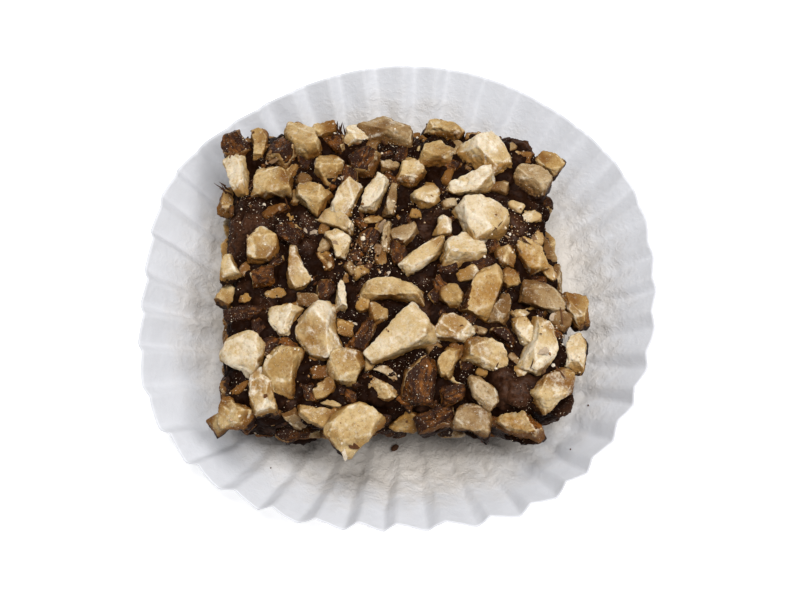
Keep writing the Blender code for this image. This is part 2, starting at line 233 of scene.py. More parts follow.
def addTree(piece, name, build, material, sizes):
    # a Geometry Nodes modifier whose tree takes each size as a named input
    tree = bpy.data.node_groups.new(name, "GeometryNodeTree")
    for way in ("INPUT", "OUTPUT"):
        tree.interface.new_socket("Geometry", in_out=way, socket_type="NodeSocketGeometry")
    for size in sizes:
        tree.interface.new_socket(size, in_out="INPUT", socket_type="NodeSocketFloat")
    graph = Graph(tree)
    given = tree.nodes.new("NodeGroupInput")
    wires = {socket.name: Wire(graph, socket) for socket in given.outputs if socket.name}
    result = build(graph, wires.pop("Geometry"), wires)
    real = graph.node("GeometryNodeRealizeInstances", None, {"Geometry": result})
    coloured = graph.node("GeometryNodeSetMaterial", None, {"Geometry": real, "Material": material})
    leaves = tree.nodes.new("NodeGroupOutput")
    tree.links.new(coloured.socket, leaves.inputs["Geometry"])
    modifier = piece.modifiers.new(name, "NODES")
    modifier.node_group = tree
    for item in tree.interface.items_tree:
        if item.in_out == "INPUT" and item.name in sizes:
            modifier[item.identifier] = float(sizes[item.name])


def plainMesh(piece):
    # the piece's mesh with its modifiers applied
    bpy.context.view_layer.update()
    graph = bpy.context.evaluated_depsgraph_get()
    shaped = piece.evaluated_get(graph)
    mesh = bpy.data.meshes.new_from_object(shaped, preserve_all_data_layers=True, depsgraph=graph)
    piece.modifiers.clear()
    piece.data = mesh
    return mesh


def finishPiece(piece, node, smooth=True):
    # millimetres to metres, then into the frame in place of its CAD node
    mesh = plainMesh(piece) if piece.modifiers else piece.data
    mesh.transform(Matrix.Scale(mm, 4))
    mesh.polygons.foreach_set("use_smooth", [smooth] * len(mesh.polygons))
    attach(piece, "root")
    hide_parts(node)
    mesh.calc_loop_triangles()
    print("made", piece.name, "with", len(mesh.loop_triangles), "triangles")


def around(values, angle):
    # the value at an angle, from values spaced evenly round the circle, by a smooth closed curve
    place = angle / math.tau % 1.0 * len(values)
    first = int(place)
    share = place - first
    before, start, end, after = (values[(first + k) % len(values)] for k in (-1, 0, 1, 2))
    slopeIn = (end - before) / 2
    slopeOut = (after - start) / 2
    rest = 1 - share
    rise = start * (1 + 2 * share) * rest**2 + slopeIn * share * rest**2
    return rise + end * share**2 * (3 - 2 * share) - slopeOut * share**2 * rest


paper = {
    "colour": (0.685, 0.693, 0.724),
    "mottled": 0.965,  # how light its cloudy parts are beside the rest
    "shadeTint": (0.55, 0.50, 0.44),  # painted shade and brownish light bounced off the sweet, with some cocoa butter and dust, close to the sweet
    "shadeZone": (21, 30),
    "pleats": 40,
    "stepsPerPleat": 14,
    "rings": 58,
    "thickness": 0.07,
    "discRadius": 35.0,  # of the paper before it is folded
    "baseRadius": 16.0,  # the pleats start here
    "ridgeShare": 0.68,  # of a pleat's width falls slowly, and the rest rises steeply
    "pleatDepth": 1.38,
    "pleatSoftness": 0.12,  # how round its ridge is
    "pleatGrowth": 1.05,  # how it deepens towards the rim
    "wallBend": 0.3,  # how soft the turn from base to wall is
    "unevenPleats": 0.35,
    "strayPleats": 0.16,  # how far a crease wanders, as a share of a pleat
    "crumple": 0.62,  # how deep the small dents are
    "crumpleRadius": 23.0,  # where most of them lie, and how far either side
    "crumpleWidth": 3.5,
    "trim": 0.04,  # keeps the thin sheet within the thicker solid
    # spaced evenly round the case from +X: where the wall leaves the table, and the rim's height and radius
    "liftRadius": (21.0, 24.5, 20.0, 26.2, 22.0, 26.8, 21.0, 26.0),
    "rimHeight": (6.8, 5.6, 7.0, 5.2, 6.8, 4.0, 7.0, 5.0),
    "rimRadius": (30.7, 32.1, 31.8, 30.9, 31.3, 32.3, 30.7, 33.1, 32.1, 31.0, 32.0, 31.2),
}


def foldPaper(graph, flat, sizes):
    # lifts the wall of a flat disc, pleats it and crumples it a little
    place = graph.node("GeometryNodeInputPosition")
    x = graph.part(place, 0)
    y = graph.part(place, 1)
    angle = y.maths("ARCTAN2", y, x)
    out = (x * x + y * y) ** 0.5
    base = sizes["Base Radius"]
    bend = sizes["Wall Bend"]
    ridge = sizes["Ridge Share"]
    lift = namedNumber(graph, "lift")
    rim = namedNumber(graph, "rim")
    height = namedNumber(graph, "height")

    share = (out - base).most(0) / (sizes["Disc Radius"] - base)
    radius = out.least(base) + share * (rim - base)
    onWall = (radius - lift).most(0) / (rim - lift)
    soft = (onWall * onWall + bend * bend) ** 0.5 - bend
    wallHeight = height * soft / ((bend * bend + 1) ** 0.5 - bend)
    slope = angle.maths("ARCTAN2", height * (onWall * 3).least(1), rim - lift)

    # noise that closes on itself round the case
    turned = graph.joined(angle.cosine() * 3, angle.sine() * 3, share * 0.6)
    wander = graph.noise(turned, 1.6, 3) - 0.5
    phase = (angle / math.tau * sizes["Pleats"] + wander * sizes["Stray Pleats"] * 4).fraction()
    onFall = phase < ridge
    rising = (phase - ridge) / (1 - ridge)
    straight = rising + onFall * (1 - phase / ridge - rising)
    rounded = 0.5 - (straight * math.pi).cosine() * 0.5
    fold = straight + sizes["Pleat Softness"] * (rounded - straight)
    uneven = 1 - sizes["Uneven Pleats"] * graph.noise(turned, 2.3, 1)
    pleat = sizes["Pleat Depth"] * share ** sizes["Pleat Growth"] * fold * uneven

    # small dents where the wall leaves the table
    ring = sizes["Crumple Radius"]
    spread = graph.joined(angle.cosine() * ring, angle.sine() * ring, radius * 0.8)
    away = (radius - ring) / paper["crumpleWidth"]
    nearFold = (away * away * -1).exponential() + 0.1
    broad = (graph.noise(spread, 0.36, 1) - 0.5).absolute()
    small = (graph.noise(spread, 1.1, 2) - 0.5).absolute()
    crumple = sizes["Crumple"] * nearFold * (0.4 - broad * 2 - small * 1.2) * share.between(0, 0.25)

    out = radius - (pleat + crumple) * slope.sine() - paper["trim"] * share
    rise = (wallHeight + (pleat + crumple) * slope.cosine()).most(0)
    place = graph.joined(angle.cosine() * out, angle.sine() * out, rise)
    return graph.node("GeometryNodeSetPosition", None, {"Geometry": flat, "Position": place})


def paperMaterial():
    material, graph, shader = newMaterial("white greaseproof paper", specular=0.35)
    place = millimetres(graph)
    mottle = graph.noise(place, 0.5, 3).between(0.3, 0.7)
    fibre = graph.noise(place, 7, 4, 0.7)
    creases = (graph.noise(place, 0.75, 3, 0.6) - 0.5).absolute().between(0.12, 0)
    cloudy = tuple(part * paper["mottled"] for part in paper["colour"])
    sheet = graph.mixed(mottle, paper["colour"], cloudy)
    # painted shade and brownish bounced light close to the sweet, with some cocoa butter stain; it also
    # deepens the creases there
    shadeNearSweet = 1 - (graph.distance(place) + (mottle - 0.5) * 2).between(*paper["shadeZone"])
    feed(
        graph,
        shader,
        Base_Color=graph.mixed(shadeNearSweet * 0.85, sheet, paper["shadeTint"]),
        Roughness=0.5 + mottle * 0.12,
        Normal=graph.bump(fibre * 0.4 + creases * (shadeNearSweet * 1.5 + 0.3), 0.35, 0.00012),
    )
    return material


def makePaperCase():
    steps = paper["pleats"] * paper["stepsPerPleat"]
    bm = bmesh.new()
    bmesh.ops.create_circle(bm, cap_ends=True, cap_tris=True, segments=steps, radius=paper["baseRadius"])
    rim = [edge for edge in bm.edges if edge.is_boundary]
    for ring in range(1, paper["rings"] + 1):
        made = bmesh.ops.extrude_edge_only(bm, edges=rim)["geom"]
        rim = [item for item in made if isinstance(item, bmesh.types.BMEdge) and item.is_boundary]
        radius = paper["baseRadius"] + ring / paper["rings"] * (paper["discRadius"] - paper["baseRadius"])
        for vertex in {vertex for edge in rim for vertex in edge.verts}:
            vertex.co = vertex.co.normalized() * radius
    bmesh.ops.recalc_face_normals(bm, faces=bm.faces)
    if sum(face.normal.z for face in bm.faces) < 0:
        bmesh.ops.reverse_faces(bm, faces=bm.faces)
    mesh = bpy.data.meshes.new("case paper")
    bm.to_mesh(mesh)
    bm.free()

    angles = [math.atan2(vertex.co.y, vertex.co.x) for vertex in mesh.vertices]
    for name, key in (("lift", "liftRadius"), ("rim", "rimRadius"), ("height", "rimHeight")):
        giveNumbers(mesh, name, [around(paper[key], angle) for angle in angles])
    material = paperMaterial()
    case = newObject("paper_case_sheet", mesh, material)
    sizes = inputs(
        paper, "pleats", "discRadius", "baseRadius", "ridgeShare", "pleatDepth", "pleatSoftness",
        "pleatGrowth", "wallBend", "unevenPleats", "strayPleats", "crumple", "crumpleRadius",
    )
    addTree(case, "fold the paper", foldPaper, material, sizes)
    sheet = case.modifiers.new("paper thickness", "SOLIDIFY")
    sheet.thickness = paper["thickness"]
    sheet.offset = 1.0
    finishPiece(case, "paper_case")
    return case


slab = {
    # corners in plan
    "backLeft": (-20.2, 18.0),
    "backRight": (16.2, 18.8),
    "frontLeft": (-19.4, -18.4),
    "frontRight": (18.8, -17.6),
    "bottom": 1.6,
    "top": 10.3,
    "half": (19.0, 18.0, 4.35),  # before its corners are drawn to the plan
    "round": 2.8,
    "lumpSize": 8.0,
    "lumpHeight": 0.8,
    "bottomLumps": 0.3,
    "cells": (10, 10, 3),  # of the plain slab that the almonds are set on
}


def slabPoint(corner):
    # a point of the unit cube's surface, drawn into the rounded, lumpy slab
    half = Vector(slab["half"])
    boxed = corner * half
    limits = (value - slab["round"] for value in half)
    core = Vector(max(-limit, min(limit, value)) for value, limit in zip(boxed, limits))
    outward = (boxed - core).normalized()
    rounded = core + outward * slab["round"]
    across = (1 + rounded.x / half.x) / 2
    along = (1 + rounded.y / half.y) / 2
    front = Vector(slab["frontLeft"]).lerp(Vector(slab["frontRight"]), across)
    back = Vector(slab["backLeft"]).lerp(Vector(slab["backRight"]), across)
    plan = front.lerp(back, along)
    place = Vector((plan.x, plan.y, rounded.z + (slab["top"] + slab["bottom"]) / 2))
    lump = noise.noise(place / slab["lumpSize"]) + 0.5 * noise.noise(place / slab["lumpSize"] * 2.3)
    if outward.z < -0.5:
        lump = slab["bottomLumps"] * (abs(lump) - 1)
    return place + outward * lump * slab["lumpHeight"]


def slabMesh(cells):
    bm = bmesh.new()
    bmesh.ops.create_cube(bm, size=2)
    for axis, count in enumerate(cells):
        for cut in range(1, count):
            normal = Vector(float(axis == k) for k in range(3))
            whole = bm.verts[:] + bm.edges[:] + bm.faces[:]
            bmesh.ops.bisect_plane(bm, geom=whole, plane_co=normal * (2 * cut / count - 1), plane_no=normal)
    for vertex in bm.verts:
        vertex.co = slabPoint(vertex.co)
    bmesh.ops.triangulate(bm, faces=bm.faces)
    return bm


# how far the sides close towards the far end, how far the chunk curves,
# how thick it is for its width, how many corners are knocked off, and how crisp its edges are
shapes = {
    "block": (0.1, 0.0, 0.85, 4, 26),
    "round": (0.0, 0.0, 0.8, 6, 16),
    "wedge": (0.62, 0.0, 0.8, 3, 26),
    "moon": (0.15, 0.58, 0.8, 4, 16),
    "sliver": (0.25, 0.05, 1.1, 2, 26),
    "small": (0.25, 0.0, 0.8, 2, 22),
}

# tone: the broken flesh, the same browned by toasting and in painted shade, the same bruised, with dust and
# in painted light, how readily a face keeps its skin, the roughness and how white its powder is
tones = {
    "cream": {
        "flesh": (0.55, 0.403, 0.206), "deep": (0.32, 0.173, 0.048), "pale": (0.70, 0.605, 0.46),
        "skin": 0.0, "rough": 0.6, "powder": 0.85,
    },
    "tan": {
        "flesh": (0.40, 0.25, 0.09), "deep": (0.205, 0.090, 0.017), "pale": (0.59, 0.445, 0.238),
        "skin": 0.0, "rough": 0.48, "powder": 0.6,
    },
    "gold": {
        "flesh": (0.355, 0.19, 0.047), "deep": (0.165, 0.066, 0.012), "pale": (0.53, 0.37, 0.17),
        "skin": 0.15, "rough": 0.4, "powder": 0.4,
    },
    "grey": {
        "flesh": (0.335, 0.219, 0.100), "deep": (0.175, 0.085, 0.024), "pale": (0.53, 0.415, 0.266),
        "skin": 0.05, "rough": 0.48, "powder": 0.5,
    },
    "skin": {
        "flesh": (0.34, 0.20, 0.068), "deep": (0.15, 0.060, 0.012), "pale": (0.54, 0.40, 0.22),
        "skin": 0.8, "rough": 0.46, "powder": 0.4,
    },
}

almonds = {
    "thickest": 3.9,
    "seated": 0.36,  # of a chunk's thickness lies below the chocolate's surface
    "mostTilt": 14,  # degrees
    "leanOut": 0.015,  # for each millimetre from the middle
    "lowest": 0.72,  # they reach down no further than the paper
    "skinColour": (0.031, 0.0083, 0.0016),
    "skinStreak": (0.24, 0.088, 0.013),
    "skinGrain": (0.9, 3.2, 3.2),  # how its streaks are drawn out
    "powder": (0.80, 0.735, 0.62),
    "specks": (0.80, 0.70, 0.55),
    # how deep the broad dents, the broken grain and the chips at the edges are
    "dents": 0.5,
    "grain": 0.38,
    "chips": 0.42,
    "fineFrom": (3.2, 2.2),  # a chunk longer than this gets the finest mesh, or the next
    "breaks": (9, 5, 3),  # more small faces where it broke, for each mesh
    "breakDepth": (0.8, 0.96),  # where they lie, as a share of the way out
    "scoop": 0.05,  # how hollow a face is
    "edgeWidth": 0.07,
    "widened": 1.07,  # makes up for what the extra breaks take off
    "warp": 0.18,  # how far a chunk is drawn out of shape
    # the larger ones on top: where, length, width, the way the far end points, shape and tone
    "top": (
        (-20.0, 16.4, 3.9, 3.2, 120, "block", "skin"),
        (-17.1, 15.9, 4.8, 2.5, -86, "wedge", "tan"),
        (-14.2, 14.8, 3.9, 3.4, 80, "block", "skin"),
        (-11.7, 16.5, 6.1, 3.9, -62, "block", "tan"),
        (-9.3, 18.7, 3.0, 2.3, 35, "small", "tan"),
        (-7.9, 16.3, 3.3, 2.7, -55, "wedge", "skin"),
        (-5.1, 17.8, 3.3, 2.9, 5, "block", "cream"),
        (-1.6, 18.1, 6.6, 3.0, -12, "block", "grey"),
        (5.4, 18.8, 4.5, 2.1, -20, "block", "tan"),
        (-19.2, 12.1, 6.4, 2.9, -74, "wedge", "cream"),
        (-15.0, 10.2, 4.6, 3.8, -10, "block", "tan"),
        (-11.5, 11.2, 2.1, 1.8, 40, "small", "grey"),
        (-8.3, 12.5, 3.7, 3.1, 50, "block", "tan"),
        (-4.2, 13.7, 4.2, 3.5, 70, "round", "skin"),
        (-1.3, 13.4, 2.3, 1.6, 10, "small", "grey"),
        (-10.5, 8.8, 4.3, 3.1, -40, "block", "tan"),
        (-14.6, 6.8, 3.0, 1.6, 28, "block", "gold"),
        (-6.4, 8.5, 4.8, 2.8, 72, "block", "cream"),
        (-2.9, 9.3, 5.6, 2.1, 68, "block", "cream"),
        (4.5, 14.5, 3.9, 3.1, -10, "block", "tan"),
        (10.5, 14.2, 5.5, 4.3, -52, "block", "cream"),
        (1.3, 12.2, 3.7, 3.2, 60, "block", "tan"),
        (3.0, 8.9, 3.2, 2.7, 42, "block", "cream"),
        (5.6, 11.5, 1.9, 1.6, 70, "small", "tan"),
        (8.4, 10.2, 6.0, 2.7, 195, "wedge", "cream"),
        (6.2, 8.0, 2.6, 1.3, 10, "small", "grey"),
        (9.5, 5.5, 6.0, 5.3, -65, "round", "cream"),
        (15.8, 11.5, 4.5, 3.1, -22, "block", "grey"),
        (-16.0, 2.2, 4.2, 3.5, 100, "round", "tan"),
        (-13.0, 3.7, 3.5, 2.7, -30, "block", "skin"),
        (-7.3, 5.5, 5.2, 2.5, -38, "wedge", "cream"),
        (-7.0, 2.3, 3.3, 2.8, -80, "wedge", "cream"),
        (-3.7, 3.1, 3.0, 2.4, 70, "block", "skin"),
        (-1.6, 3.3, 4.0, 1.4, 84, "sliver", "grey"),
        (0.5, 4.0, 3.2, 2.4, 30, "block", "grey"),
        (5.1, 4.8, 2.8, 2.1, 75, "block", "cream"),
        (7.3, 1.2, 5.2, 3.1, 12, "round", "cream"),
        (2.6, 0.8, 6.0, 2.2, 38, "block", "cream"),
        (12.3, 0.9, 2.7, 2.4, 90, "round", "tan"),
        (15.2, 1.0, 4.4, 2.9, 108, "block", "gold"),
        (17.3, -0.7, 2.7, 1.2, -60, "small", "cream"),
        (7.9, -1.4, 2.7, 1.7, 20, "small", "cream"),
        (-12.0, -0.7, 5.6, 2.5, 102, "wedge", "cream"),
        (-14.4, -3.7, 2.4, 1.3, 10, "small", "cream"),
        (-17.8, -6.4, 4.6, 1.8, 5, "block", "skin"),
        (-8.6, -3.6, 2.8, 2.0, 60, "block", "skin"),
        (-6.8, -4.2, 4.0, 1.1, 88, "sliver", "cream"),
        (-13.0, -7.7, 3.4, 3.4, -90, "wedge", "cream"),
        (-9.1, -9.1, 6.7, 4.3, 102, "round", "cream"),
        (-17.3, -11.4, 4.9, 4.1, -32, "round", "cream"),
        (-12.9, -13.5, 6.1, 3.6, 78, "round", "tan"),
        (-15.2, -15.7, 5.1, 2.7, 98, "block", "cream"),
        (-17.6, -15.2, 2.2, 1.6, 20, "small", "tan"),
        (-6.1, -13.2, 4.4, 3.8, 70, "round", "tan"),
        (-8.3, -15.3, 2.5, 2.0, 30, "small", "tan"),
        (-18.2, -18.1, 3.8, 3.1, -25, "round", "tan"),
        (-9.1, -18.6, 4.4, 2.5, 165, "wedge", "tan"),
        (-5.3, -19.8, 5.9, 4.2, 42, "round", "tan"),
        (-2.1, -15.7, 3.8, 1.9, -35, "block", "tan"),
        (-0.8, -3.5, 8.0, 2.7, -8, "moon", "tan"),
        (-0.1, -10.0, 8.0, 4.7, 213, "wedge", "cream"),
        (-4.0, -9.2, 4.0, 2.0, 60, "block", "skin"),
        (6.0, -4.5, 2.9, 2.6, -50, "block", "tan"),
        (9.5, -3.9, 6.6, 3.4, 65, "block", "gold"),
        (12.6, -2.0, 2.6, 2.1, -50, "block", "gold"),
        (11.5, -6.0, 3.8, 2.1, 75, "block", "grey"),
        (16.3, -4.3, 5.4, 3.0, -20, "block", "grey"),
        (14.0, -6.3, 2.8, 1.4, 30, "small", "cream"),
        (14.0, -8.8, 3.4, 2.7, -80, "wedge", "cream"),
        (15.4, -10.6, 6.7, 2.9, 72, "block", "cream"),
        (6.2, -8.7, 4.1, 3.0, -15, "block", "cream"),
        (9.6, -11.6, 4.8, 3.2, -18, "block", "tan"),
        (5.4, -12.6, 3.7, 2.1, 68, "block", "tan"),
        (2.2, -14.9, 5.1, 3.7, 80, "block", "skin"),
        (5.8, -16.0, 2.8, 2.2, 20, "block", "skin"),
        (9.1, -15.9, 4.2, 2.3, -42, "block", "grey"),
        (16.9, -15.5, 5.1, 3.3, 40, "block", "tan"),
        (18.4, -7.0, 2.4, 2.2, 80, "block", "grey"),
    ),
    # larger ones on the edges and sides: the same, after a place with a height
    "edge": (
        (-21.0, 9.8, 7.5, 3.2, 2.4, 80, "small", "tan"),
        (-19.9, -0.4, 10.2, 3.0, 2.3, 100, "wedge", "cream"),
        (-20.4, -3.0, 8.0, 2.4, 2.1, 70, "small", "tan"),
        (-20.1, -18.0, 6.0, 2.9, 2.4, 30, "small", "tan"),
        (-11.3, -18.8, 4.8, 4.6, 2.0, 8, "block", "skin"),
        (13.5, -18.7, 6.9, 5.4, 3.9, -38, "wedge", "gold"),
        (20.1, -10.7, 8.5, 4.6, 2.2, 78, "block", "cream"),
        (20.4, -5.2, 8.5, 4.4, 2.5, -62, "block", "tan"),
        (18.2, 14.7, 8.5, 3.4, 2.9, -20, "block", "tan"),
        (3.9, -18.4, 8.0, 4.5, 2.6, 18, "block", "skin"),
        (8.2, -18.6, 8.0, 4.4, 3.2, -20, "block", "grey"),
    ),
    # small ones that show between them, too fine for the solid, the same
    "between": (
        (-21.2, 17.3, 9.8, 2.2, 1.3, 60, "small", "gold"),
        (-6.9, 19.0, 10.4, 1.7, 1.3, 70, "small", "tan"),
        (-3.6, 19.4, 11.0, 1.9, 1.1, 10, "small", "tan"),
        (9.6, 18.6, 9.9, 2.9, 1.5, -12, "small", "tan"),
        (-1.1, 8.4, 10.8, 4.0, 1.4, 82, "sliver", "grey"),
        (-8.9, 4.8, 10.6, 1.9, 1.3, 50, "small", "tan"),
        (-3.3, 6.0, 10.6, 2.2, 1.0, 20, "small", "tan"),
        (-4.7, -1.1, 10.6, 2.0, 1.5, 30, "small", "cream"),
        (-12.6, -5.5, 10.6, 2.2, 1.0, 15, "small", "gold"),
        (-20.3, -4.6, 8.4, 2.4, 1.1, 75, "small", "tan"),
        (-20.4, -7.3, 6.5, 2.6, 1.4, 75, "small", "tan"),
        (-20.3, -11.6, 5.4, 2.2, 1.8, 10, "small", "grey"),
        (-20.6, -14.2, 5.0, 2.5, 2.2, 40, "small", "grey"),
        (-7.7, -17.5, 10.5, 2.4, 1.0, -20, "small", "cream"),
        (-1.2, -13.8, 10.6, 2.6, 1.0, -32, "sliver", "grey"),
        (1.8, -18.3, 6.0, 3.0, 1.6, -8, "small", "tan"),
        (3.7, -10.7, 10.6, 1.9, 1.4, 20, "small", "grey"),
        (3.9, -4.3, 10.6, 1.9, 1.5, 60, "small", "skin"),
        (8.9, -8.6, 10.6, 2.0, 1.2, -30, "small", "grey"),
        (11.7, -9.5, 10.6, 3.2, 1.5, -36, "sliver", "skin"),
        (6.5, -15.0, 10.6, 2.0, 0.9, -40, "small", "cream"),
        (12.9, -12.1, 10.6, 1.7, 1.0, -50, "small", "grey"),
        (16.4, 3.7, 10.5, 2.0, 1.5, 80, "small", "cream"),
        (19.2, -0.9, 9.3, 2.4, 2.0, 30, "small", "tan"),
    ),
    # smaller ones by a rule: how many, the longest, the shortest, and how deep they are seated
    "topFill": (14, 2.4, 1.5, 0.36),
    "sideFill": (30, 4.4, 2.8, 0.55),
    "footFill": (6, 4.0, 2.8, 0.4),
    "feetRadius": 13.0,
    "sideHeights": (3.2, 8.4),
    "spacing": 0.92,
    "tries": 2600,
    "seed": 41,
    # slivers and scraps between them, too fine for the solid, which may stand closer together
    "bitsCloser": 0.75,
    "bitFill": (105, 2.8, 0.8, 0.42),
    "bitSideFill": (130, 2.2, 0.8, 0.42),
    "bitTones": ("skin",) * 8 + ("gold", "gold", "grey", "tan", "tan", "cream"),
    "bitSeed": 7,
    # where the chocolate stays bare of them, and how far
    "bare": (
        (15.5, 16.0, 2.6), (14.0, 8.0, 3.2), (-17.8, 3.5, 3.5), (-10.5, 6.0, 2.0), (2.0, -1.6, 2.2),
        (-15.8, -4.6, 1.6), (-5.0, -4.0, 1.6), (14.0, -13.3, 2.2), (4.2, 7.0, 1.5),
    ),
}


def chunkPlanes(length, width, thick, close, cuts, draw):
    # the planes that cut a chunk out of an almond, each as its outward normal and its distance
    closing = math.atan2(close * width / 2, length)
    shift = close * width / 4
    planes = []
    for way in (-1, 1):
        lean = [draw.uniform(-0.2, 0.2) for _ in range(4)]
        planes.append((Vector((way, lean[0], lean[1])).normalized(), length / 2))
        side = Vector((math.sin(closing), way * math.cos(closing), lean[2])).normalized()
        planes.append((side, width / 2 - shift))
        planes.append((Vector((lean[3], lean[0] / 2, way)).normalized(), thick / 2))
    for number in range(cuts):
        way = Vector((1 - 2 * (number & 1), 1 - (number & 2), 1 - (number & 4) / 2))
        corner = Vector((way.x / length, way.y / width, way.z / thick * draw.uniform(0.3, 1.1)))
        normal = Vector((corner.x * draw.uniform(0.6, 1.4), corner.y * draw.uniform(0.6, 1.4), corner.z))
        normal.normalize()
        reach = abs(normal.x) * length / 2 + abs(normal.y) * width / 2 + abs(normal.z) * thick / 2
        planes.append((normal, reach * draw.uniform(0.6, 0.78)))
    return planes


def ballPoints(divisions):
    # the points and faces of a ball of radius 1
    bm = bmesh.new()
    bmesh.ops.create_icosphere(bm, subdivisions=divisions, radius=1)
    points = np.array([vertex.co[:] for vertex in bm.verts])
    faces = np.array([[vertex.index for vertex in face.verts] for face in bm.faces])
    bm.free()
    return points, faces


balls = (ballPoints(5), ballPoints(4), ballPoints(3))


def cutOut(ways, near, crisp):
    # where each way out meets the nearest plane, blended where two planes meet
    return ways / (np.sum(near**crisp, axis=1) ** (1 / crisp))[:, None]


class Chunk:
    # one chopped almond: the same cuts as its solid, on a mesh fine enough for its grain
    def __init__(self, chunk, seat, seated, outward, draw):
        self.length, self.width, turn, self.shape, self.tone = chunk
        close, curve, thickness, cuts, crisp = shapes[self.shape]
        self.thick = min(almonds["thickest"], thickness * math.sqrt(self.length * self.width))
        planes = chunkPlanes(self.length, self.width, self.thick, close, cuts, draw)
        tilt = math.radians(almonds["mostTilt"])
        lean = Matrix.Rotation(draw.uniform(-tilt, tilt), 4, "X")
        lean @= Matrix.Rotation(draw.uniform(-tilt, tilt), 4, "Y")
        stand = up.rotation_difference(outward).to_matrix().to_4x4()
        spin = Matrix.Rotation(math.radians(turn), 4, "Z")
        self.seat = seat
        self.outward = outward
        self.middle = seat + outward * self.thick * (0.5 - seated)
        self.turned = stand @ spin @ lean

        fineness = sum(self.length <= limit for limit in almonds["fineFrom"])
        ball, self.faces = balls[fineness]
        points = ball * np.array((self.length, self.width, self.thick)) / 2
        ways = points / np.linalg.norm(points, axis=1, keepdims=True)
        normals = np.array([normal[:] for normal, _ in planes])
        distances = np.array([distance for _, distance in planes])
        outline = cutOut(ways, np.maximum(ways @ normals.T, 0) / distances, crisp)

        # more small faces where it broke
        own = np.random.default_rng(round(abs(seat.x) * 100) + round(abs(seat.y) * 100) * 7919)
        count = almonds["breaks"][fineness]
        extra = own.normal(size=(count, 3))
        extra /= np.linalg.norm(extra, axis=1, keepdims=True)
        reach = (outline @ extra.T).max(axis=0) * own.uniform(*almonds["breakDepth"], size=count)
        normals = np.concatenate((normals, extra))
        distances = np.concatenate((distances, reach))
        # each face a little hollow, deepest at its middle
        square = np.maximum(ways @ normals.T, 0)
        near = square / (distances * (1 - almonds["scoop"] * square**6))
        points = cutOut(ways, near, crisp)
        points[:, 1] -= curve * self.width * (2 * points[:, 0] / self.length) ** 2
        points[:, :2] *= almonds["widened"]
        along = 2 * points[:, 0] / self.length
        warp = own.uniform(-almonds["warp"], almonds["warp"], 3)
        points[:, 1] *= 1 + warp[0] * along
        points[:, 2] *= 1 + warp[1] * along
        points[:, 1] += warp[2] * self.width * (along**2 - 0.4)

        # which face a point is on, and how near it is to that face's edge
        order = np.sort(near, axis=1)
        inside = order[:, -1] / np.maximum(order[:, -2], 1e-9) - 1
        self.edge = np.clip(1 - inside / almonds["edgeWidth"], 0, 1)
        face = near.argmax(axis=1)
        rotation = np.array(self.turned.to_3x3())
        # painted light: faces turned up get a higher light number, which the material draws paler, and
        # faces turned aside deeper in colour
        rising = normals @ rotation.T @ np.array(outward[:])
        self.light = np.clip(0.75 * rising + own.uniform(-0.45, 0.45, len(normals)), -1, 1)[face]
        onSkin = np.array((own.uniform(-0.6, 0.6), own.uniform(-0.6, 0.6), 1.0))
        if self.tone != "skin":
            onSkin = own.normal(size=3)
        onSkin /= np.linalg.norm(onSkin)
        self.skin = (normals @ onSkin > 1 - 1.15 * tones[self.tone]["skin"]).astype(float)[face]
        self.shade = np.full(len(points), own.uniform(-1, 1))
        self.own = points + own.uniform(-50, 50, 3)

        self.points = points @ rotation.T + np.array(self.middle[:])
        self.points[:, 2] = np.maximum(self.points[:, 2], almonds["lowest"])
        self.rise = (self.points - np.array(seat[:])) @ np.array(outward[:])


def fillChunks(count, longest, shortest, placeOf, taken, draw, kinds=tuple(tones)):
    # ever smaller chunks, each at a random free place
    made = 0
    for _ in range(almonds["tries"]):
        if made == count:
            return
        length = longest + (shortest - longest) * made / count
        width = length * draw.uniform(0.62, 0.9)
        spot = placeOf(draw)
        if spot is None:
            continue
        seat, outward = spot
        reach = (length + width) / 4
        if any((seat - other).length < almonds["spacing"] * (reach + wide) for other, wide in taken):
            continue
        taken.append((seat, reach))
        made += 1
        yield (length, width, draw.uniform(0, 360), "small", draw.choice(kinds)), seat, outward


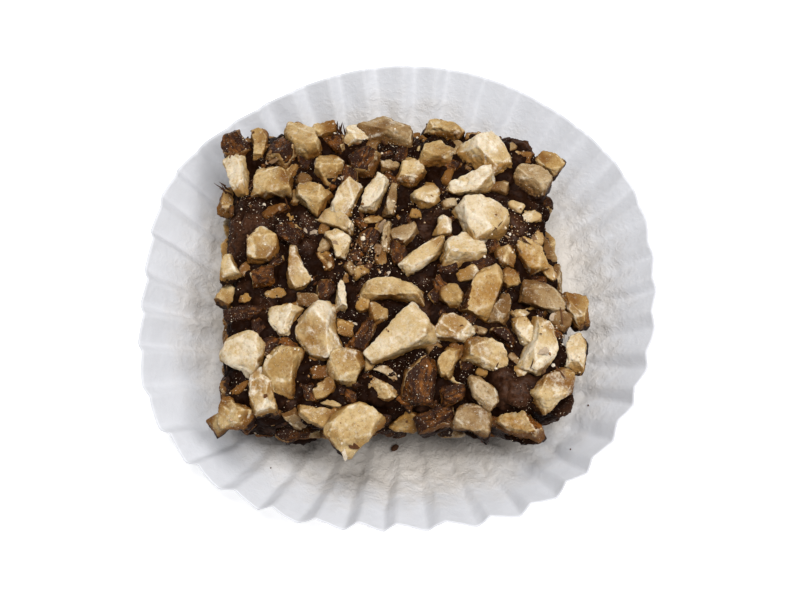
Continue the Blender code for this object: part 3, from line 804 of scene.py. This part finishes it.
def placeChunks():
    plain = slabMesh(slab["cells"])
    tree = BVHTree.FromBMesh(plain)
    plain.free()
    half = Vector(slab["half"])
    middle = Vector((0, 0, (slab["top"] + slab["bottom"]) / 2))
    taken = []
    chunks = []

    def onTop(draw):
        spot = Vector((draw.uniform(-1, 1), draw.uniform(-1, 1), 4))
        seat = tree.ray_cast(spot * half, -up)[0]
        return seat and (seat, up)

    def onSide(draw):
        angle = draw.uniform(0, math.tau)
        way = Vector((math.cos(angle), math.sin(angle), 0))
        start = Vector((0, 0, draw.uniform(*almonds["sideHeights"]))) + way * 2 * half.x
        seat, normal = tree.ray_cast(start, -way)[:2]
        return seat and (seat, (normal + way * 0.5).normalized())

    def underneath(draw):
        angle = draw.uniform(0, math.tau)
        out = almonds["feetRadius"] * math.sqrt(draw.random())
        seat = tree.ray_cast(Vector((out * math.cos(angle), out * math.sin(angle), 0)), up)[0]
        return seat and (seat, -up)

    for number, (x, y, *chunk) in enumerate(almonds["top"]):
        seat = Vector((x, y, tree.find_nearest(Vector((x, y, slab["top"])))[0].z))
        taken.append((seat, (chunk[0] + chunk[1]) / 4))
        outward = (up + almonds["leanOut"] * (seat - middle)).normalized()
        chunks.append(Chunk(chunk, seat, almonds["seated"], outward, random.Random(number)))
    for number, (x, y, z, *chunk) in enumerate(almonds["edge"]):
        seat = Vector((x, y, z))
        taken.append((seat, (chunk[0] + chunk[1]) / 4))
        chunks.append(Chunk(chunk, seat, almonds["seated"], up, random.Random(-number)))
    between = []
    for number, (x, y, z, *chunk) in enumerate(almonds["between"]):
        seat = tree.find_nearest(Vector((x, y, z)))[0]
        between.append(Chunk(chunk, seat, almonds["seated"], up, random.Random(1000 + number)))
    draw = random.Random(almonds["seed"])
    fills = (("topFill", onTop), ("sideFill", onSide), ("footFill", underneath))
    for name, placeOf in fills:
        *fill, seated = almonds[name]
        for chunk, seat, outward in fillChunks(*fill, placeOf, taken, draw):
            chunks.append(Chunk(chunk, seat, seated, outward, draw))
    chunks += between
    taken += [(chunk.seat, (chunk.length + chunk.width) / 4) for chunk in between]
    draw = random.Random(almonds["bitSeed"])
    taken = [(seat, reach * almonds["bitsCloser"]) for seat, reach in taken]
    taken += [(Vector((x, y, slab["top"])), reach) for x, y, reach in almonds["bare"]]
    for name, placeOf in (("bitFill", onTop), ("bitSideFill", onSide)):
        *fill, seated = almonds[name]
        for chunk, seat, outward in fillChunks(*fill, placeOf, taken, draw, almonds["bitTones"]):
            chunks.append(Chunk(chunk, seat, seated, outward, draw))
    print("cut", len(chunks), "pieces of almond")
    return chunks


def roughenAlmonds(graph, chunks, sizes):
    # broad dents, chipped edges and a fine broken grain
    place = graph.node("GeometryNodeInputPosition")
    edge = namedNumber(graph, "edge")
    dents = graph.noise(place, 0.5, 2, 0.5) - 0.5
    chips = graph.noise(place, 1.1, 3, 0.6).between(0.45, 0.7)
    grain = graph.noise(place, 1.9, 3, 0.6) - 0.5
    push = dents * sizes["Dents"] + grain * sizes["Grain"] - chips * (edge * 0.7 + 0.3) * sizes["Chips"]
    return graph.pushed(chunks, push)


def almondMaterial(tone):
    look = tones[tone]
    name = f"{tone} almond"
    material, graph, shader = newMaterial(name, specular=0.2, subsurface=0.12, subsurfaceReach=0.0008)
    place = attributeNode(graph, "own")
    numbers = ("skin", "rise", "shade", "light", "edge")
    skin, rise, shade, light, edge = (attributeNode(graph, number, 2) for number in numbers)

    half = graph.noise(place, 0.2, 1) - 0.5
    cloud = graph.noise(place, 0.6, 3, 0.6) - 0.5
    scuffs = graph.noise(place, 0.9, 4, 0.7) - 0.5
    ragged = graph.noise(place, 1.6, 4, 0.65) - 0.5
    grain = graph.noise(place, 3.2, 4, 0.7)
    specks = graph.noise(place, 5.5, 2, 0.6)

    # faces browned by toasting, with painted shade on the sides and at the foot, then dust and painted
    # light on the faces turned up, and bruised edges
    # painted shade, deepest near the chocolate at each chunk's foot
    low = 1 - (rise + cloud * 2).between(0, 1.9)
    toastedAndShaded = 0.42 - light * 0.5 + cloud * 2.6 + half * 3.4 + shade * 0.2 + low * 1.1 - edge * 0.3
    flesh = graph.mixed(toastedAndShaded.between(0, 1), look["flesh"], look["deep"])
    dustAndLight = light * 0.5 + cloud * 2.0 - half * 2.4 + (grain - 0.5) * 1.4 + edge * 0.7 - low * 0.8
    flesh = graph.mixed(dustAndLight.between(0, 1) * 0.9, flesh, look["pale"])
    flesh = graph.mixed(grain.between(0.48, 0.3) * 0.4, flesh, look["deep"])
    # white powder on scuffs and bruised edges, a little more where the faces are painted as lit
    bruised = edge * (cloud * 1.8 + 0.42).most(0)
    white = light * 0.3 + scuffs * 4 + bruised + shade * 0.15 - low * 0.6 - 0.26
    flesh = graph.mixed(white.between(0, 1) * look["powder"], flesh, almonds["powder"])

    skinMask = (skin + ragged * 0.5).between(0.42, 0.58)
    along = graph.node("ShaderNodeMapping", None, {"Vector": place, "Scale": almonds["skinGrain"]})
    streaks = graph.noise(along, 0.9, 4, 0.7)
    streaked = (streaks + cloud * 1.1 + shade * 0.08).between(0.4, 0.85)
    skinColour = graph.mixed(streaked, almonds["skinColour"], almonds["skinStreak"])
    coloured = graph.mixed(skinMask, flesh, skinColour)
    # specks of powder, shown mostly on the faces painted as lit
    powder = specks.between(0.64, 0.7) * (light + 0.6).between(0, 1)
    coloured = graph.mixed(powder * 0.85, coloured, almonds["specks"])

    # chocolate has crept up round the foot of each chunk, drawn a little higher so that it also paints the
    # dark contact shade there
    smearAndShade = 1 - (rise + ragged * 2.2).between(0.05, 0.45)
    feed(
        graph,
        shader,
        Base_Color=graph.mixed(smearAndShade, coloured, chocolate["colour"]),
        Roughness=look["rough"] - skinMask * 0.08 - smearAndShade * 0.1 + powder * 0.2,
        Normal=graph.bump(grain + streaks * skinMask + powder * 0.5, 0.85, 0.00018),
    )
    return material


def makeAlmonds(chunks):
    pieces = []
    sizes = inputs(almonds, "dents", "grain", "chips")
    for tone in tones:
        own = [chunk for chunk in chunks if chunk.tone == tone]
        points = np.concatenate([chunk.points for chunk in own])
        starts = np.cumsum([0] + [len(chunk.points) for chunk in own[:-1]])
        faces = np.concatenate([chunk.faces + start for chunk, start in zip(own, starts)])
        mesh = meshOf(f"{tone} chunks", points.tolist(), faces.tolist())
        for name in ("skin", "rise", "shade", "light", "edge", "own"):
            giveNumbers(mesh, name, np.concatenate([getattr(chunk, name) for chunk in own]))
        material = almondMaterial(tone)
        piece = newObject(f"almonds_{tone}", mesh, material)
        addTree(piece, "roughen", roughenAlmonds, material, sizes)
        finishPiece(piece, "buttercrunch")
        pieces.append(piece)
    return pieces


chocolate = {
    "colour": (0.021, 0.0056, 0.0012),
    # painted light, for the tops of the raised lumps
    "light": (0.060, 0.0252, 0.0122),
    "crust": (0.125, 0.061, 0.034),
    # painted shade, round and under the chunks and in the small pits of the crust
    "paintedShadeColour": (0.0065, 0.0014, 0.0003),
    "dust": (0.74, 0.63, 0.48),
    "cells": (44, 42, 10),  # of the slab that it is melted over
    "voxel": 0.25,
    "broad": 1.0,  # how high its lumps stand
    "fine": 0.75,  # and its crust
    "melt": 0.5,  # how far the coat's steps are smoothed
    # how high the chocolate stands round each chunk, how deep that collar starts, and how wide it is
    # for the chunk, in the middle and at the slab's edges
    "collar": 0.45,
    "collarSunk": 0.2,
    "collarReach": 0.92,
    "edgeCollarReach": 0.55,
    "collarInside": 15.5,  # the middle is as wide as this on both sides
    "collarFrom": 2.2,  # shorter chunks have none
    "collarFarthest": 1.05,  # from the slab, at its edges
    "paintedShadeReach": 1.3,  # how far out from a chunk the painted shade on the chocolate reaches
    # small lumps of chocolate: how many, how far out, how large and how deep they are sunk
    "blobs": 420,
    "blobSpread": (18.5, 17.5),
    "blobSize": (0.35, 1.6),
    "blobSunk": 0.15,
    "seed": 12,
}


def addBlob(bm, place, size, turn):
    made = bmesh.ops.create_icosphere(bm, subdivisions=3, radius=1)
    matrix = Matrix.Translation(place) @ turn @ Matrix.Diagonal((*size, 1))
    bmesh.ops.transform(bm, matrix=matrix, verts=made["verts"])


def chocolateRelief(graph, place, broad, fine):
    # soft lumps with creases between them, and a fine crust
    lumps = graph.noise(place, 0.55, 3, 0.55) - 0.5
    creases = graph.noise(place, 0.9, 3, 0.6, noise_type="RIDGED_MULTIFRACTAL", normalize=True) - 0.5
    crust = graph.noise(place, 2.4, 3, 0.6) - 0.5
    return lumps * broad - creases * broad * 0.7 + crust * fine


def relieveChocolate(graph, coat, sizes):
    place = graph.node("GeometryNodeInputPosition")
    return graph.pushed(coat, chocolateRelief(graph, place, sizes["Broad"], sizes["Fine"]))


def chocolateMaterial():
    material, graph, shader = newMaterial("milk chocolate", specular=0.03)
    place = millimetres(graph)
    shelter = attributeNode(graph, "shelter", 2)
    relief = chocolateRelief(graph, place, 1.0, 0.3)
    cloud = graph.noise(place, 0.35, 4, 0.6)
    fine = graph.noise(place, 3.2, 4, 0.65)
    # painted light and shade: the raised lumps lighter, the creases between them darker
    lit = (relief + (cloud - 0.5) * 0.6).between(-0.22, 0.3)
    brown = graph.mixed(lit, chocolate["colour"], chocolate["light"])
    brown = graph.mixed(fine.between(0.48, 0.72) * 0.5, brown, chocolate["crust"])
    # painted shade in the pits of the fine crust, then round the chunks
    brown = graph.mixed(fine.between(0.47, 0.33) * 0.7, brown, chocolate["paintedShadeColour"])
    brown = graph.mixed(shelter * 0.85, brown, chocolate["paintedShadeColour"])
    # specks of almond dust, in patches
    patches = graph.noise(place, 0.3, 2).between(0.45, 0.66)
    dust = graph.noise(place, 5, 2, 0.5).between(0.66, 0.7) * patches
    feed(
        graph,
        shader,
        Base_Color=graph.mixed(dust, brown, chocolate["dust"]),
        Roughness=0.42 + (cloud - 0.5) * 0.4 + dust * 0.25,
        # the gloss is kept out of the painted shade round the chunks
        Coat_Weight=(1 - shelter) * 0.09,
        Normal=graph.bump(fine + cloud + dust * 0.5, 0.45, 0.00014),
    )
    return material


def paintChocolateShade(mesh, chunks):
    # painted shade: how closely the chunks stand round each point of the chocolate, to darken it there
    points = np.empty(len(mesh.vertices) * 3)
    mesh.vertices.foreach_get("co", points)
    points = points.reshape(-1, 3) / mm
    shelter = np.zeros(len(points))
    for chunk in chunks:
        reach = (chunk.length + chunk.width) / 4
        away = np.linalg.norm(points - np.array(chunk.seat[:]), axis=1)
        shelter += np.clip((reach + chocolate["paintedShadeReach"] - away) / chocolate["paintedShadeReach"], 0, 1)
    giveNumbers(mesh, "shelter", np.clip(shelter, 0, 1))


def makeChocolate(chunks):
    bm = slabMesh(chocolate["cells"])
    draw = random.Random(chocolate["seed"])
    tree = BVHTree.FromBMesh(bm)
    for chunk in chunks:
        # a low collar round the chunk's foot
        if chunk.length < chocolate["collarFrom"]:
            continue
        inside = abs(chunk.seat.x) < chocolate["collarInside"] and chunk.outward.z > 0.9
        if not inside and tree.find_nearest(chunk.seat)[3] > chocolate["collarFarthest"]:
            continue
        reach = chocolate["collarReach"] if inside else chocolate["edgeCollarReach"]
        size = (chunk.length / 2 * reach, chunk.width / 2 * reach, chocolate["collar"])
        addBlob(bm, chunk.seat - chunk.outward * chocolate["collarSunk"], size, chunk.turned)
    for _ in range(chocolate["blobs"]):
        spot = (draw.uniform(-1, 1) * reach for reach in chocolate["blobSpread"])
        start = Vector((*spot, 4 * slab["top"]))
        seat, normal = tree.ray_cast(start, -up)[:2]
        size = draw.uniform(*chocolate["blobSize"])
        turn = Matrix.Rotation(draw.uniform(0, math.tau), 4, "Z")
        if seat:
            form = (size, size * draw.uniform(0.5, 0.9), size * 0.5)
            addBlob(bm, seat - normal * size * chocolate["blobSunk"], form, turn)
    mesh = bpy.data.meshes.new("chocolate coat")
    bm.to_mesh(mesh)
    bm.free()
    material = chocolateMaterial()
    coat = newObject("chocolate_coat", mesh, material)
    remesh = coat.modifiers.new("one skin", "REMESH")
    remesh.mode = "VOXEL"
    remesh.voxel_size = chocolate["voxel"]
    smooth = coat.modifiers.new("melt", "SMOOTH")
    smooth.factor = chocolate["melt"]
    addTree(coat, "lumps", relieveChocolate, material, inputs(chocolate, "broad", "fine"))
    finishPiece(coat, "buttercrunch")
    paintChocolateShade(coat.data, chunks)
    return coat


crumbs = {
    # how many to a square millimetre, from how small to how large, how long, wide and thick for that,
    # how far they tilt, how ragged they are, how close together their patches lie, how pale the palest
    # is and how fine each one's mesh is
    "nut_crumbs": {
        "perSquare": 0.45, "least": 0.09, "most": 0.28, "form": (1.1, 0.9, 0.8), "tilt": 3.0,
        "torn": 0.04, "patch": 0.22, "paler": 1.0, "fineness": 1, "seed": 3,
    },
    "nut_dust": {
        "perSquare": 1.9, "least": 0.045, "most": 0.15, "form": (1.1, 0.9, 0.8), "tilt": 3.0,
        "torn": 0.0, "patch": 0.14, "paler": 1.0, "fineness": 1, "seed": 8,
    },
    "skin_flakes": {
        "perSquare": 0.16, "least": 0.28, "most": 0.95, "form": (1.0, 0.6, 0.06), "tilt": 0.6,
        "torn": 0.9, "patch": 0.2, "paler": 1.0, "fineness": 2, "seed": 21,
    },
    "skin_splinters": {
        "perSquare": 0.06, "least": 0.16, "most": 0.34, "form": (3.6, 0.4, 0.3), "tilt": 0.5,
        "torn": 0.2, "patch": 0.2, "paler": 0.6, "fineness": 2, "seed": 34,
    },
    "skinColoured": ("skin_flakes", "skin_splinters"),
    "upward": 0.3,  # they stay where the surface faces up at least this much
    "patchEdge": (0.53, 0.72),
    "lowEnd": (2, 3),  # they thin out between these heights
    # more lie in these places: where, how far they reach, how many more
    "heaps": (
        (-4.5, 1.0, 4.2, 3.6), (13.5, 4.0, 4.0, 2.4), (-13.5, 5.0, 4.0, 0.8), (1.5, 8.5, 4.0, 1.0),
        (-5.0, 6.8, 2.0, 2.5), (17.5, -8.0, 3.0, 1.5),
    ),
    "nutTints": (
        (0.0, (0.05, 0.016, 0.006)), (0.28, (0.32, 0.17, 0.06)),
        (0.6, (0.66, 0.53, 0.36)), (1.0, (0.85, 0.79, 0.68)),
    ),
    "skinTints": (
        (0.0, (0.03, 0.009, 0.003)), (0.45, (0.13, 0.05, 0.014)),
        (0.7, (0.30, 0.19, 0.10)), (1.0, (0.72, 0.64, 0.52)),
    ),
    # loose on the paper: where, and how wide
    "loose": (
        (-0.6, -19.0, 0.5), (22.3, -14.0, 0.14), (19.7, -19.9, 0.13), (-21.5, 21.5, 0.15),
        (-15.0, -21.6, 0.1),
    ),
    "looseForm": (1, 0.7, 0.55),
    "looseLumps": (0.25, 1.3),  # how high and how close together
    "looseRise": 0.45,
    "looseTint": 0.15,
    # bristles of torn skin at the edges: where, which way, how many
    "bristles": (
        ((-20.9, 10.8, 9.0), (-0.8, 0.5, 0.35), 5),
        ((-7.3, 18.7, 10.0), (-0.15, 0.6, 0.9), 6),
    ),
    "bristleSize": (0.1, 0.01, 1.7),  # radius at the foot and at the tip, and length
    "bristleForm": (1.6, 0.6, 1),
    "bristleSplay": 0.45,
    "bristleRoots": 0.6,  # how far apart they are rooted
    "bristleSeed": 5,
}


def randomVector(graph, least, most, seed):
    sockets = {0: least, 1: most, "Seed": seed}
    return graph.node("FunctionNodeRandomValue", {"data_type": "FLOAT_VECTOR"}, sockets)


def randomNumber(graph, most, seed):
    sockets = {2: 0.0, 3: most, "Seed": seed}
    return graph.node("FunctionNodeRandomValue", {"data_type": "FLOAT"}, sockets, 1)


def scatterCrumbs(pieces, look):
    # a tree that sows angular crumbs or flakes over the finished pieces
    seed = look["seed"]
    tilt = look["tilt"]
    slimmest, fattest = (tuple(part * share for part in look["form"]) for share in (0.6, 1.4))

    def build(graph, _, sizes):
        joined = graph.node("GeometryNodeJoinGeometry")
        for piece in pieces:
            part = graph.node("GeometryNodeObjectInfo", None, {"Object": piece}).output("Geometry")
            graph.tree.links.new(part.socket, joined.socket.node.inputs[0])
        ground = graph.node("GeometryNodeTransform", None, {"Geometry": joined, "Scale": (1 / mm,) * 3})
        place = graph.node("GeometryNodeInputPosition")
        facing = sizes["Upward"] < graph.part(graph.node("GeometryNodeInputNormal"), 2)
        density = graph.noise(place, sizes["Patch"], 3, 0.6).between(*crumbs["patchEdge"])
        for x, y, reach, more in crumbs["heaps"]:
            away = graph.distance(place, (x, y, slab["top"]))
            density = density + (1 - away / reach).most(0) * more
        density = density * graph.part(place, 2).between(*crumbs["lowEnd"])
        sown = graph.node(
            "GeometryNodeDistributePointsOnFaces",
            None,
            {"Mesh": ground, "Selection": facing, "Density": density * sizes["Per Square"], "Seed": seed},
        )
        crumb = {"Radius": 1.0, "Subdivisions": look["fineness"]}
        crumb = graph.node("GeometryNodeMeshIcoSphere", None, crumb)
        turn = randomVector(graph, (-tilt, -tilt, 0), (tilt, tilt, math.tau), seed + 1)
        turn = {"Rotation": sown.output("Rotation"), "Rotate By": turn}
        lying = graph.node("FunctionNodeRotateRotation", {"rotation_space": "LOCAL"}, turn)
        shape = randomVector(graph, slimmest, fattest, seed + 2)
        small = randomNumber(graph, 1.0, seed + 3)
        size = sizes["Least"] + small**2.5 * (sizes["Most"] - sizes["Least"])
        laid = graph.node(
            "GeometryNodeInstanceOnPoints",
            None,
            {"Points": sown, "Instance": crumb, "Rotation": lying, "Scale": graph.scaled(shape, size)},
        )
        tinted = graph.node(
            "GeometryNodeStoreNamedAttribute",
            {"data_type": "FLOAT", "domain": "INSTANCE"},
            {"Geometry": laid, "Name": "tint", "Value": randomNumber(graph, look["paler"], seed + 4)},
        )
        single = graph.node("GeometryNodeRealizeInstances", None, {"Geometry": tinted})
        ragged = graph.noise(graph.node("GeometryNodeInputPosition"), 1.7, 2).output("Color")
        ragged = {0: ragged, 1: (0.5, 0.5, 0.5)}
        offset = graph.node("ShaderNodeVectorMath", {"operation": "SUBTRACT"}, ragged)
        offset = graph.scaled(offset, sizes["Torn"])
        return graph.node("GeometryNodeSetPosition", None, {"Geometry": single, "Offset": offset})

    return build


def crumbMaterial(name, tints):
    material, graph, shader = newMaterial(name, specular=0.3)
    tint = attributeNode(graph, "tint", 2)
    colour = graph.node("ShaderNodeValToRGB", {"stops": tints}, {0: tint})
    grain = graph.noise(millimetres(graph), 6, 3, 0.6)
    feed(
        graph,
        shader,
        Base_Color=graph.mixed(grain.between(0.35, 0.7) * 0.3, colour, tints[1][1]),
        Roughness=0.55 + grain * 0.2,
        Normal=graph.bump(grain, 0.4, 0.00005),
    )
    return material


def makeCrumbs(pieces):
    nut = crumbMaterial("nut crumbs", crumbs["nutTints"])
    skin = crumbMaterial("torn skin", crumbs["skinTints"])
    for name in ("nut_crumbs", "nut_dust", "skin_flakes", "skin_splinters"):
        look = crumbs[name]
        material = skin if name in crumbs["skinColoured"] else nut
        piece = newObject(name, bpy.data.meshes.new(name), material)
        sizes = inputs(look, "perSquare", "least", "most", "torn", "patch") | inputs(crumbs, "upward")
        addTree(piece, "sow crumbs", scatterCrumbs(pieces, look), material, sizes)
        finishPiece(piece, "buttercrunch", smooth=False)
    return skin


def makeLooseBits(case, skin):
    # crumbs that fell on the paper, and bristles of torn skin that stand out from the edges
    draw = random.Random(crumbs["bristleSeed"])
    corners = [vertex.co / mm for vertex in case.data.vertices]
    tree = BVHTree.FromPolygons(corners, [face.vertices for face in case.data.polygons])
    bm = bmesh.new()
    lumpHeight, lumpScale = crumbs["looseLumps"]
    for x, y, size in crumbs["loose"]:
        ground = tree.ray_cast(Vector((x, y, 20)), -up)[0]
        turn = Matrix.Rotation(draw.uniform(0, math.tau), 4, "Z")
        made = bmesh.ops.create_icosphere(bm, subdivisions=2, radius=1)["verts"]
        for vertex in made:
            vertex.co *= 1 + lumpHeight * noise.noise(vertex.co * lumpScale + ground)
        form = Matrix.Diagonal((*(part * size for part in crumbs["looseForm"]), 1))
        middle = ground + up * size * crumbs["looseRise"]
        matrix = Matrix.Translation(middle) @ turn @ form
        bmesh.ops.transform(bm, matrix=matrix, verts=made)
    thick, tip, length = crumbs["bristleSize"]
    splay = crumbs["bristleSplay"]
    roots = crumbs["bristleRoots"]
    for place, way, count in crumbs["bristles"]:
        for _ in range(count):
            spread = Vector(draw.uniform(-splay, splay) for _ in range(3))
            point = (Vector(way).normalized() + spread).normalized()
            reach = length * draw.uniform(0.6, 1.1)
            foot = thick * draw.uniform(0.8, 1.5)
            made = bmesh.ops.create_cone(
                bm, cap_ends=True, segments=5, radius1=foot, radius2=tip, depth=reach
            )["verts"]
            stand = up.rotation_difference(point).to_matrix().to_4x4()
            root = Vector(place) + Vector(draw.uniform(-roots, roots) for _ in range(3))
            form = Matrix.Diagonal((*crumbs["bristleForm"], 1))
            matrix = Matrix.Translation(root + point * reach / 2) @ stand @ form
            bmesh.ops.transform(bm, matrix=matrix, verts=made)
    mesh = bpy.data.meshes.new("loose bits")
    bm.to_mesh(mesh)
    bm.free()
    giveNumbers(mesh, "tint", np.full(len(mesh.vertices), crumbs["looseTint"]))
    finishPiece(newObject("loose_bits", mesh, skin), "buttercrunch", smooth=False)


studio = {
    "floorSize": 3,
    "floorDrop": 0.00002,  # it lies this much below the case
    "floorColour": (0.97, 0.97, 0.97),
    "floorGlow": 0.42,  # so that the shadow beside the case stays faint
    "sky": 0.34,
    # soft lights: where, how large and how strong
    "lights": {
        "soft overhead": ((0.0, 0.045, 0.36), 0.2, 1.06),
        "side light": ((0.13, -0.07, 0.25), 0.09, 0.33),
    },
    "cameraRise": 64,  # degrees above the floor
    "cameraAway": 0.155,
    "lookAt": (0, -0.0005, 0.002),
    "lens": 56.9,
    "nearest": 0.005,  # that the camera shows
    "gamma": 0.9,  # a little more contrast, as a camera gives
}


def makeStudio():
    bpy.ops.mesh.primitive_plane_add(size=studio["floorSize"], location=(0, 0, -studio["floorDrop"]))
    floor = bpy.context.object
    floor.name = "floor"
    material, _, shader = newMaterial("pale floor", specular=0.1)
    shader.inputs["Base Color"].default_value = (*studio["floorColour"], 1)
    shader.inputs["Roughness"].default_value = 0.9
    shader.inputs["Emission Color"].default_value = (1, 1, 1, 1)
    shader.inputs["Emission Strength"].default_value = studio["floorGlow"]
    floor.data.materials.append(material)

    world = bpy.data.worlds.new("studio")
    world.use_nodes = True
    sky = world.node_tree.nodes["Background"]
    sky.inputs["Color"].default_value = (1, 1, 1, 1)
    sky.inputs["Strength"].default_value = studio["sky"]
    bpy.context.scene.world = world

    for name, (place, size, power) in studio["lights"].items():
        light = bpy.data.lights.new(name, "AREA")
        light.energy = power
        light.size = size
        lamp = bpy.data.objects.new(name, light)
        bpy.context.scene.collection.objects.link(lamp)
        lamp.location = place
        lamp.rotation_euler = (-lamp.location).to_track_quat("-Z", "Y").to_euler()

    lens = bpy.data.cameras.new("camera")
    lens.lens = studio["lens"]
    lens.clip_start = studio["nearest"]
    camera = bpy.data.objects.new("camera", lens)
    bpy.context.scene.collection.objects.link(camera)
    rise = math.radians(studio["cameraRise"])
    back = Vector((0, -math.cos(rise), math.sin(rise)))
    camera.location = Vector(studio["lookAt"]) + back * studio["cameraAway"]
    camera.rotation_euler = (math.pi / 2 - rise, 0, 0)
    bpy.context.scene.camera = camera
    bpy.context.scene.view_settings.view_transform = "Standard"
    bpy.context.scene.view_settings.gamma = studio["gamma"]
    print("set up the floor, the lights and the camera")


case = makePaperCase()
chunks = placeChunks()
coat = makeChocolate(chunks)
nuts = makeAlmonds(chunks)
skin = makeCrumbs([coat, *nuts])
makeLooseBits(case, skin)
makeStudio()
